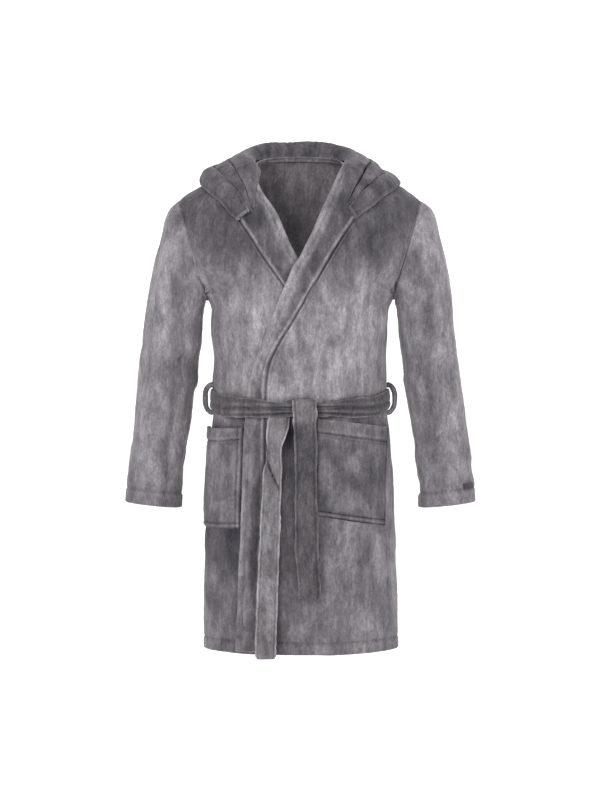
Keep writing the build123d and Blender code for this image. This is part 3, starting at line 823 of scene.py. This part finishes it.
def waistband():
    first, last = float(turn_at(BELT_Z, 7.0)), float(turn_at(BELT_Z, 15.0)) - 360
    turn = np.linspace(first, last, 320)

    def middle(turn, off=0.0):
        z = BELT_Z - BELT_DIP * ease(-body(BELT_Z, turn)[..., 1], 0, 100) + off
        at = body(z, turn)
        return body(z, turn, belt_lift(at[..., 0], at[..., 1]) + 3.4)

    centre = middle(turn)
    up = middle(turn, 18) - middle(turn, -18)
    out = np.cross(up, middle(turn - 1) - middle(turn + 1))
    wave = lump(centre, (60, 60, 60), 101)
    drawn = np.exp(-((centre[:, 0] - KNOT_X) / 88) ** 2) * (centre[:, 1] < 0)  # drawn in at the knot
    half = BELT_WIDE / 2 + 1.6 * wave - 8.5 * drawn
    rise = 1.6 * lump(centre, (85, 85, 85), 102) - 2.5 * drawn + 3 * (1 - drawn)
    centre = centre + np.array([0, 0, 1.0]) * rise[:, None]

    def relief(p, cx, sx):
        d, tone = strap_relief(105, 1.2, 0.0)(p, cx, sx)
        d = d * (1 - 0.7 * ease(np.abs(p[..., 0]), 140, 165))
        pull = np.exp(-((p[..., 0] - KNOT_X) / 150) ** 2) * (p[..., 1] < 0)
        face = np.maximum(0, sx)[None]
        # folds drawn towards the knot: painted shade in their grooves and painted highlights on their ridges
        for slope, start, strength in ((0.0042, 0.55, 1.0), (-0.0036, -0.35, 0.9), (0.0015, 0.05, 0.6)):
            line = start - slope * np.abs(p[..., 0] - KNOT_X) * np.sign(start)
            d = d - 3.2 * strength * face * pull * bump(cx[None] - line, 0.0, 0.14)
            d = d + 1.6 * strength * face * pull * bump(cx[None] - line, 0.32, 0.16)
            tone = tone - 0.78 * strength * face * pull * bump(cx[None] - line, 0.0, 0.13)
            tone = tone + 0.74 * strength * face * pull * bump(cx[None] - line, 0.30, 0.16)
        return d, tone

    # painted shade: the waistband darker than the tails
    o = strap("belt_round_waist", centre, up, out, half, 3.7, relief, 64, tone=0.59)
    finish_piece(o, shaded_belt_plush, "robe", ["belt_waistband"])


def path(points, n):
    """A smooth path through points, evenly divided."""
    p = np.array(points, float)
    key = distance(p)
    rows = np.column_stack([-key, p])
    dense = through(rows, -np.linspace(0, key[-1], 1500))
    run = distance(dense)
    s = np.linspace(0, run[-1], n)
    return np.stack([np.interp(s, run, dense[:, k]) for k in range(3)], -1), s


def front_y(x, z):
    return body(z, turn_at(z, x))[..., 1]


def tails():
    # The wearer's left tail goes up behind the belt, over it, and down the front.
    yb = float(front_y(10.0, KNOT_Z)) - 12.5
    round_belt = [(7, 6, -6), (7.5, 4, 9), (8, -3, 15), (8.5, -11.5, 9), (9, -14, -6), (9.5, -12.5, -24)]
    pts = [(x, yb + y, KNOT_Z + z) for x, y, z in round_belt]
    for z, x in ((-540, 10.5), (-600, 11.5), (-680, 12), (-760, 14), (-810, 17.5), (-840, 20)):
        pts.append((x, float(front_y(11.0, float(z))) - 19, z))
    centre, s = path(pts, 170)
    tangent = np.gradient(centre, axis=0)
    across = np.tile([1.0, 0, 0], (len(centre), 1)) + np.array([0, 1.0, 0]) * (0.10 * np.sin(s / 60))[:, None]
    out = np.cross(across, tangent)
    over = ease(s, 62, 84)  # 1 where it has come down in front of the belt
    half = 22.0 + 0.8 * np.sin(s / 37) + 1.6 * bump(s, 40, 26) + 0.8 * ease(s, s[-1] - 60, s[-1])
    half = half - 8 + np.sqrt(64 - np.clip(s - s[-1] + 8, 0, 7.9) ** 2)
    # painted light over the knot and painted shade where the tail hangs in front of the belt
    o = strap("belt_left_tail_plush", centre, across, -out, half, 3.5, strap_relief(110, 1.0, 1.0), 56,
              tone=(1.25 - 0.60 * over)[:, None])
    finish_piece(o, shaded_belt_plush, None, ["belt_left_tail", "belt_knot"],
                 (("robe", "left_tail"), (0, 0, -0.497), (0, 0, -0.545)))
    # The wearer's right tail comes out below the belt, turns on its edge once and hangs to the hem.
    pts = [(x, yb + y, KNOT_Z + z) for x, y, z in ((-38, 5, 4), (-39.5, 1, -14), (-42, -4, -34))]
    for z, x in ((-549, -48.5), (-579, -50.5), (-623, -54), (-700, -57), (-800, -61), (-900, -64.5),
                 (-952, -66)):
        pts.append((x, float(front_y(x, float(z))) - 18.5, z))
    centre, s = path(pts, 190)
    tangent = unit(np.gradient(centre, axis=0))
    turn = 0.45 * bump(centre[:, 2], -556, 30)
    flat = np.tile([1.0, 0, 0], (len(centre), 1))
    front = unit(np.cross(tangent, flat))
    across = flat * np.cos(turn)[:, None] + front * np.sin(turn)[:, None]
    out = np.cross(tangent, across)
    widths = [(-400, 21.5), (-505, 21.5), (-530, 19.5), (-552, 16), (-578, 16), (-590, 18), (-625, 18.5),
              (-700, 19.5), (-960, 20.5)]
    half = through(widths, centre[:, 2])[:, 0]
    half = half - 3 + np.sqrt(9 - np.clip(s - s[-1] + 3, 0, 2.9) ** 2)
    plain = strap_relief(120, 1.0, 1.0)

    def relief(p, cx, sx):
        d, tone = plain(p, cx, sx)
        face = np.maximum(0, -sx)[None]
        fold = cx[None] - (-p[..., 2] - 604) / 34.0
        here = bump(p[..., 2], -602, 40)
        shade = 0.85 * bump(fold, 0.0, 0.15) + 0.34 * bump(fold, -0.5, 0.42)
        return d - 4.0 * face * here * bump(fold, 0, 0.17), tone - face * here * shade

    # painted light: this tail lighter than the other, though both are one cloth
    o = strap("belt_right_tail_plush", centre, across, -out, half, 3.4, relief, 56, tone=1.45)
    finish_piece(o, shaded_belt_plush, None, ["belt_right_tail"],
                 (("robe", "right_tail"), (0, 0, -0.497), (0, 0, -0.545)))


def belt_loop(side):
    """A D-shaped loop of self cloth at the side seam; its ends run into the seam."""
    x = float(body(BELT_Z, 0)[0])
    z = BELT_Z + 4
    outline = [(-3.5, 24), (8, 26), (16, 17), (18.5, 0), (16, -18), (8, -28), (-3.5, -28)]
    centre, s = path([(side * (x + a), 0, z + b) for a, b in outline], 80)
    tangent = np.gradient(centre, axis=0)
    across = np.tile([0, 1.0, 0], (len(s), 1))
    out = np.cross(across, tangent) * side
    name = NAMES[side]
    plain = strap_relief(150, 0.3, 0.0)
    o = strap(f"{name}_loop_braid", centre, across, out, 4.6, 5.0, plain, 28, 2.4, tone=0.95)
    finish_piece(o, shaded_belt_plush, None, [f"{name}_belt_loop"],
                 (("robe", f"{name}_loop"), (side * 0.170, 0, -0.46), (side * 0.184, 0, -0.46)))


# ---- Hood

# Round the neck from the front on the left (0) to the middle of the back (7), as (height, turn) on the body:
# the seam, and where the rim of the lowered hood lies
NECKLINE = [(0, -86, -72.5), (-1, -44, -69), (-2, -12, -60), (-2.5, 6, -45), (-3, 13, -13), (-4, 15, 28),
            (-5, 15, 54), (-6, 15, 73), (-7, 15, 90)]
RIMLINE = [(0, -109, -66), (-1, -63, -54), (-1.5, -45, -42), (-2, -33, -26), (-2.5, -29, -11), (-3, -28, 2),
           (-4, -26, 34), (-5, -24, 58), (-6, -20, 76), (-7, -18, 90)]
# The same seam and rim seen from above, for the pouch behind
SEAM_PLAN = [(0, 92, -80, 0), (-1, 87, -62, 0), (-2, 85, -40, 6), (-3, 90, 2, 14), (-4, 81, 50, 27),
             (-5, 58, 74, 34), (-6, 30, 86, 34), (-7, 0, 90, 35)]
RIM_PLAN = [(0, 118, -90), (-1, 153, -72), (-2, 178, -34), (-3, 190, 10), (-4, 184, 60), (-5, 148, 112),
            (-6, 82, 158), (-7, 0, 180)]
# Heights off the body from seam to rim, as (share, height): pleats that overlap outwards, over the
# shoulder and at the front's end, where they are stitched down together
SHOULDER = [(-0.03, 5), (0.02, 17), (0.08, 27), (0.16, 31), (0.26, 30), (0.37, 28), (0.395, 18), (0.42, 27),
            (0.54, 28), (0.68, 25), (0.705, 15), (0.73, 24), (0.81, 26), (0.9, 25), (0.97, 20), (1.03, 12),
            (1.02, 5), (1.0, 1)]
FRONT_END = [(-0.1, 5), (-0.02, 7), (0.0, 5), (0.02, 5), (0.04, 5), (0.06, 5), (0.075, 2), (0.09, 7),
             (0.16, 7), (0.29, 7), (0.32, 3), (0.34, 8), (0.5, 9), (0.75, 9), (0.92, 8), (1.0, 6),
             (1.02, 3), (1.0, 0.5)]
# The middle of the back, as (behind the seam, height)
POUCH = [(0, 35), (1, 46), (4, 56), (11, 68), (20, 74), (34, 62), (45, 0), (52, -56), (60, -110),
         (70, -176), (88, -190), (100, -150), (106, -100), (104, -55), (100, -20), (98, 0), (92, 18),
         (88, 26)]
HOOD_COLS = 150
HOOD_CUT = 88  # the column where the rim's band begins
STATIONS = np.linspace(0, 7, 190)


def hood_grid(neckline, rimline, flat):
    """Points of the hood from the front end to the middle of the back, from seam to rim, and its normals.

    flat presses the shoulder's pleats down, most of all the outer one."""
    neck, rim = through(neckline, -STATIONS), through(rimline, -STATIONS)
    seam_plan, rim_plan = through(SEAM_PLAN, -STATIONS), through(RIM_PLAN, -STATIONS)
    idx = np.linspace(0, len(SHOULDER) - 1, HOOD_COLS)

    def column(rows, k):
        return through([(-j, r[k]) for j, r in enumerate(rows)], -idx)[:, 0]

    behind, drop = column(POUCH, 0), column(POUCH, 1)
    grid = np.zeros((len(STATIONS), HOOD_COLS, 3))
    for a, station in enumerate(STATIONS):
        b = float(ease(station, 3.5, 6.0))
        e = max(0.0, 1 - station / 2.5) ** 0.95
        share = column(SHOULDER, 0) * (1 - e) + column(FRONT_END, 0) * e
        high = column(SHOULDER, 1) * (1 - e) + column(FRONT_END, 1) * e
        high = high * (1 + 0.16 * float(bump(station, 4.4, 0.7)))
        high = high * (1 - flat * (0.25 + 0.75 * ease(share, 0.5, 0.74)) * (1 - e))
        z = neck[a, 0] + (rim[a, 0] - neck[a, 0]) * share
        turn = neck[a, 1] + (rim[a, 1] - neck[a, 1]) * share
        up = unit(outward(z, turn) + np.array([0, 0, 1.0]) * (1 - e))
        line = body(z, turn) + up * high[:, None]
        gap = rim_plan[a, :2] - seam_plan[a, :2]
        reach = np.linalg.norm(gap)
        direction = gap / reach
        depth = 0.34
        if station > 3.4:
            depth = depth + 0.66 * math.sqrt(max(0.0, 1 - ((7 - station) / 3.6) ** 2))
        pouch = np.zeros_like(line)
        pouch[:, 0] = seam_plan[a, 0] + direction[0] * behind * reach / 95
        pouch[:, 1] = seam_plan[a, 1] + direction[1] * behind
        pouch[:, 2] = seam_plan[a, 2] - 35 + np.where(drop < 30, 30 + (drop - 30) * depth, drop)
        grid[a] = line * (1 - b) + pouch * b
    du, dv = np.gradient(grid, axis=0), np.gradient(grid, axis=1)
    n = unit(np.cross(dv, du))
    if n[:, 12:40, 2].sum() < 0:
        n = -n
    return grid, n


def hood():
    pieces = {}
    for side in (1, -1):
        # the left front lies on top, so its end is stitched down a little higher
        first = [(0, -76, -72)] if side > 0 else NECKLINE[:1]
        last = [(0, -105, -69.5), (-1, -60, -53.5)] if side > 0 else RIMLINE[:2]
        p, n = hood_grid(first + NECKLINE[1:], last + RIMLINE[2:], 0.45 if side > 0 else 0.0)
        q = p * np.array([side, 1, 1.0])
        m = n * np.array([side, 1, 1.0])
        wob = 2.0 * lump(q, (48, 48, 60), 131) + 0.8 * lump(q, (20, 20, 26), 132) + nap(q)
        wob = wob * ease(np.arange(HOOD_COLS)[None], 0, 14)
        st = STATIONS[:, None] + 0 * wob
        col = np.arange(HOOD_COLS)[None] + 0 * st
        centre_d = (7 - st) * 32
        low = ease(col, 46, 60)  # the middle seam shows on the pouch, not on the stand
        wob = wob + seam(centre_d, 2.2) * low
        over = 1 - ease(st, 3.6, 5.2)
        # painted shade over the hood, darker on the back's stand; painted shadows under the pleats' ridges
        # and painted highlights on them; lighter along the neck seam
        tone = 0.40 - 0.08 * ease(st, 3.6, 4.8) * (1 - ease(col, 40, 60)) + seam_tone(centre_d) * low
        tone = (tone + 0.13 * lump(q, (16, 16, 60), 133)) * (1 - 0.10 * over)
        tone = tone - over * (0.34 * bump(col, 50.5, 3.2) + 0.22 * bump(col, 83.5, 2.6))
        tone = tone + over * (0.26 * bump(col, 58, 2.6) + 0.10 * bump(col, 44, 4))
        tone = tone + 0.22 * bump(col, 0, 5)
        outer = q + m * wob[..., None]
        inner = outer - m * CLOTH
        body_o, body_i, body_t = (part[:, :HOOD_CUT] for part in (outer, inner, tone))
        if side > 0:
            body_o, body_i, body_t = body_o[::-1], body_i[::-1], body_t[::-1]
        name = NAMES[side]
        pieces[name] = shell(f"hood_{name}_plush", body_o, body_i, body_t)
        pieces[name + "_rim"] = (outer[:, HOOD_CUT:], m[:, HOOD_CUT:])
    start, end_ = (0, 0.088, 0.034), (0, 0.145, 0.034)
    for name, node in (("left", "hood_left_panel"), ("right", "hood_right_panel")):
        finish_piece(pieces[name], plush, None, [node], (("robe", "hood"), start, end_))
    # one band all the way round the rim, doubled and puffed
    lo, lm = pieces["left_rim"]
    ro, rm = pieces["right_rim"]
    o = np.concatenate([lo, ro[::-1][1:]])
    m = np.concatenate([lm, rm[::-1][1:]])
    share = np.linspace(0, 1, o.shape[1])[None]
    d0, d1 = along_rows(o)
    e0, e1 = along_cols(o)
    ends = np.minimum(e0, e1)
    puff = 1.8 * (1 - np.abs(2 * share - 1) ** 3) + 1.2 * bump(d1, 4.5, 4) - 1.2 * bump(d0, 0, 3)
    outer = o + m * (1.0 + puff)[..., None]
    inner = o - m * 3.0
    # painted shade over the band, with painted highlights along its rim, beside its seam and at its ends
    tone = 0.46 + seam_tone(d0) + 0.42 * bump(d1, 2.0, 4.5) - 0.10 * bump(d1, 11, 2.2)
    tone = tone + 0.32 * bump(d0, 4.5, 2.5)
    tone = tone + 0.30 * bump(ends, 1.5, 2.2) - 0.22 * bump(ends, 5, 1.8)
    tone = tone * (1 + 0.15 * lump(o, (18, 18, 50), 134))
    band = shell("hood_band_plush", outer, inner, tone, round_rim=0.45)
    finish_piece(band, shaded_band_plush, None,
                 ["hood_rear_band", "hood_left_band", "hood_right_band"], (("robe", "hood"), start, end_))


# ---- Small pieces


def small_pieces():
    # neck tape: a binding of self cloth over the neck seam, from one front end of the hood to the other
    st = np.linspace(1.7, 7, 110)
    height, turn = through(NECKLINE, -st).T
    flip = np.array([-1, 1, 1.0])
    left, face = body(height, turn, -2.6) + np.array([0, 0, 1.5]), outward(height, turn)
    centre = np.concatenate([left, (left * flip)[::-1][1:]])
    out = np.concatenate([face, (face * flip)[::-1][1:]])
    across = np.cross(out, np.gradient(centre, axis=0))

    def relief(p, cx, sx):
        # a painted highlight along one edge of the binding
        edge = bump(cx, -0.45, 0.5)[None] + 0 * p[..., 0]
        return 0.6 * nap(p), 0.9 * edge

    o = strap("neck_binding", centre, across, out, 5.2, 1.5, relief, 24, 3.0, tone=1.3)
    finish_piece(o, shaded_belt_plush, "robe", ["neck_tape"])
    # hanger loop
    y = float(body(-24.0, 90.0)[1]) + 5
    z = float(body(TOP, 90.0)[2]) - 6
    hang = [(-26, 0, 0), (-20, 1.5, -20), (0, 4, -34), (20, 1.5, -20), (26, 0, 0)]
    centre, _ = path([(x, y + back, z + up) for x, back, up in hang], 60)
    tangent = unit(np.gradient(centre, axis=0))
    across = np.tile([0, 1.0, 0], (60, 1))
    o = strap("hanger_loop_tape", centre, across, np.cross(across, tangent), 3.5, 1.2, None, 20, 3)
    finish_piece(o, tape, "hanger", ["hanger_loop"])
    # care label
    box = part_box("care_label")
    lo, hi = np.array(box[0]) * 1000, np.array(box[1]) * 1000
    u = np.linspace(0, 1, 24)
    middle = (lo[2] + hi[2]) / 2
    centre = np.stack([hi[0] - (hi[0] - lo[0]) * u, 0 * u + 1.2 * np.sin(u * 3), 0 * u + middle], -1)
    across = np.tile([0, 0, 1.0], (24, 1))
    out = np.cross(across, np.gradient(centre, axis=0))
    o = strap("care_label_satin", centre, across, out, 29, 0.45, None, 28, 8)
    finish_piece(o, white_satin, "robe", ["care_label"])


def sleeve_label(surface):
    """A blank black label sewn flat on the front of the left cuff."""
    want = np.array([334.0, -45.0, -631.0])
    d = np.linalg.norm(surface - want, axis=-1)
    r, c = np.unravel_index(np.argmin(d), d.shape)
    across = unit(surface[r, (c + 3) % surface.shape[1]] - surface[r, (c - 3) % surface.shape[1]])
    down = unit(surface[min(r + 3, len(surface) - 1), c] - surface[r - 3, c])
    n = unit(np.cross(across, down))
    mid = surface[r - 2:r + 3, c - 3:c + 4].reshape(-1, 3).mean(0)
    if np.dot(n, mid - np.array([290.0, 0, -631])) < 0:
        n = -n
    length, half, lift = 26.0, 5.6, 2.0
    u = np.linspace(-length / 2, length / 2, 24)
    bend = -(u**2) / 130.0  # it follows the cuff's curve
    centre = mid + across * u[:, None] + n * (lift + bend)[:, None]
    o = strap("cuff_label", centre, np.tile(down, (24, 1)), np.tile(n, (24, 1)), half, 0.7, None, 28, 8)
    finish_piece(o, black_label, "left_sleeve", ["sleeve_label"])


# ---- Build

panels()
bands()
left_surface = sleeve(1)
sleeve(-1)
pocket("left_pocket_plush", "left_pocket",
       lambda z: turn_at(z, 168.0 + 0 * z), lambda z: turn_at(z, 33.0 + 0 * z), lap,
       -499.5, -705.0, top_drop=16.0, bottom_rise=22.0, gape=2.0, hem=28, shade=0.46)
pocket("right_pocket_plush", "right_pocket",
       lambda z: turn_at(z, through(LEFT_EDGE, z)[:, 0] - 4), lambda z: -178.0 + 0 * z, no_lift,
       -516.0, -708.0, top_drop=-2.0, gape=1.5)
waistband()
tails()
belt_loop(1)
belt_loop(-1)
hood()
small_pieces()
sleeve_label(left_surface)

# ---- Stage, lights, camera


def stage():
    """A white floor that curves up into a wall behind."""
    mesh = bpy.data.meshes.new("floor")
    pts, faces = [], []
    # the wall stands far enough back for a view from behind the object
    profile = [(-14.0, -1.35), (6.5, -1.35)] + [
        (6.5 + 2.5 * math.sin(a), 1.15 - 2.5 * math.cos(a)) for a in np.linspace(0.15, math.pi / 2, 10)
    ] + [(9.0, 15.0)]
    for y, z in profile:
        pts += [(-14, y, z), (14, y, z)]
    for k in range(len(profile) - 1):
        faces.append((2 * k, 2 * k + 1, 2 * k + 3, 2 * k + 2))
    mesh.from_pydata(pts, [], faces)
    mesh.polygons.foreach_set("use_smooth", [True] * len(mesh.polygons))
    o = link_object("floor", mesh)
    m = bpy.data.materials.new("floor_white")
    m.use_nodes = True
    b = m.node_tree.nodes["Principled BSDF"]
    b.inputs["Base Color"].default_value = (0.88, 0.88, 0.88, 1)
    b.inputs["Roughness"].default_value = 1.0
    b.inputs["Emission Color"].default_value = (1, 1, 1, 1)
    b.inputs["Emission Strength"].default_value = 0.57
    o.data.materials.append(m)


def light(name, place, target, size, power):
    data = bpy.data.lights.new(name, "AREA")
    data.shape = "RECTANGLE"
    data.size, data.size_y = size
    data.energy = power
    o = link_object(name, data)
    o.location = place
    o.rotation_euler = (Vector(target) - Vector(place)).to_track_quat("-Z", "Y").to_euler()


stage()
light("key", (-1.9, -2.6, 1.1), (0, 0, -0.45), (1.6, 2.0), 62)
light("fill", (2.4, -2.2, 0.2), (0, 0, -0.5), (1.8, 2.2), 40)
light("top", (0, -0.6, 2.4), (0, 0, -0.3), (2.0, 1.6), 34)
light("back", (0, 2.6, 1.0), (0, 0, -0.4), (2.4, 1.6), 26)
world = bpy.data.worlds.new("studio")
world.use_nodes = True
world.node_tree.nodes["Background"].inputs[0].default_value = (1, 1, 1, 1)
# The world lights the robe at 0.42, and the camera sees it at 1, which is white beyond the floor's sides.
rays = add_node(world.node_tree, "LightPath", {}, "Is Camera Ray")
glow = add_node(world.node_tree, "Math", {0: rays, 1: 0.58, 2: 0.42}, operation="MULTIPLY_ADD")
world.node_tree.links.new(glow, world.node_tree.nodes["Background"].inputs[1])
bpy.context.scene.world = world
bpy.context.scene.view_settings.view_transform = "Standard"

cam = bpy.data.cameras.new("camera")
cam.lens = 72.0
cam.sensor_width = 36.0
cam.sensor_fit = "AUTO"
eye = link_object("camera", cam)
eye.location = (0, -3.2, -0.46)
eye.rotation_euler = (math.radians(90), 0, 0)
bpy.context.scene.camera = eye
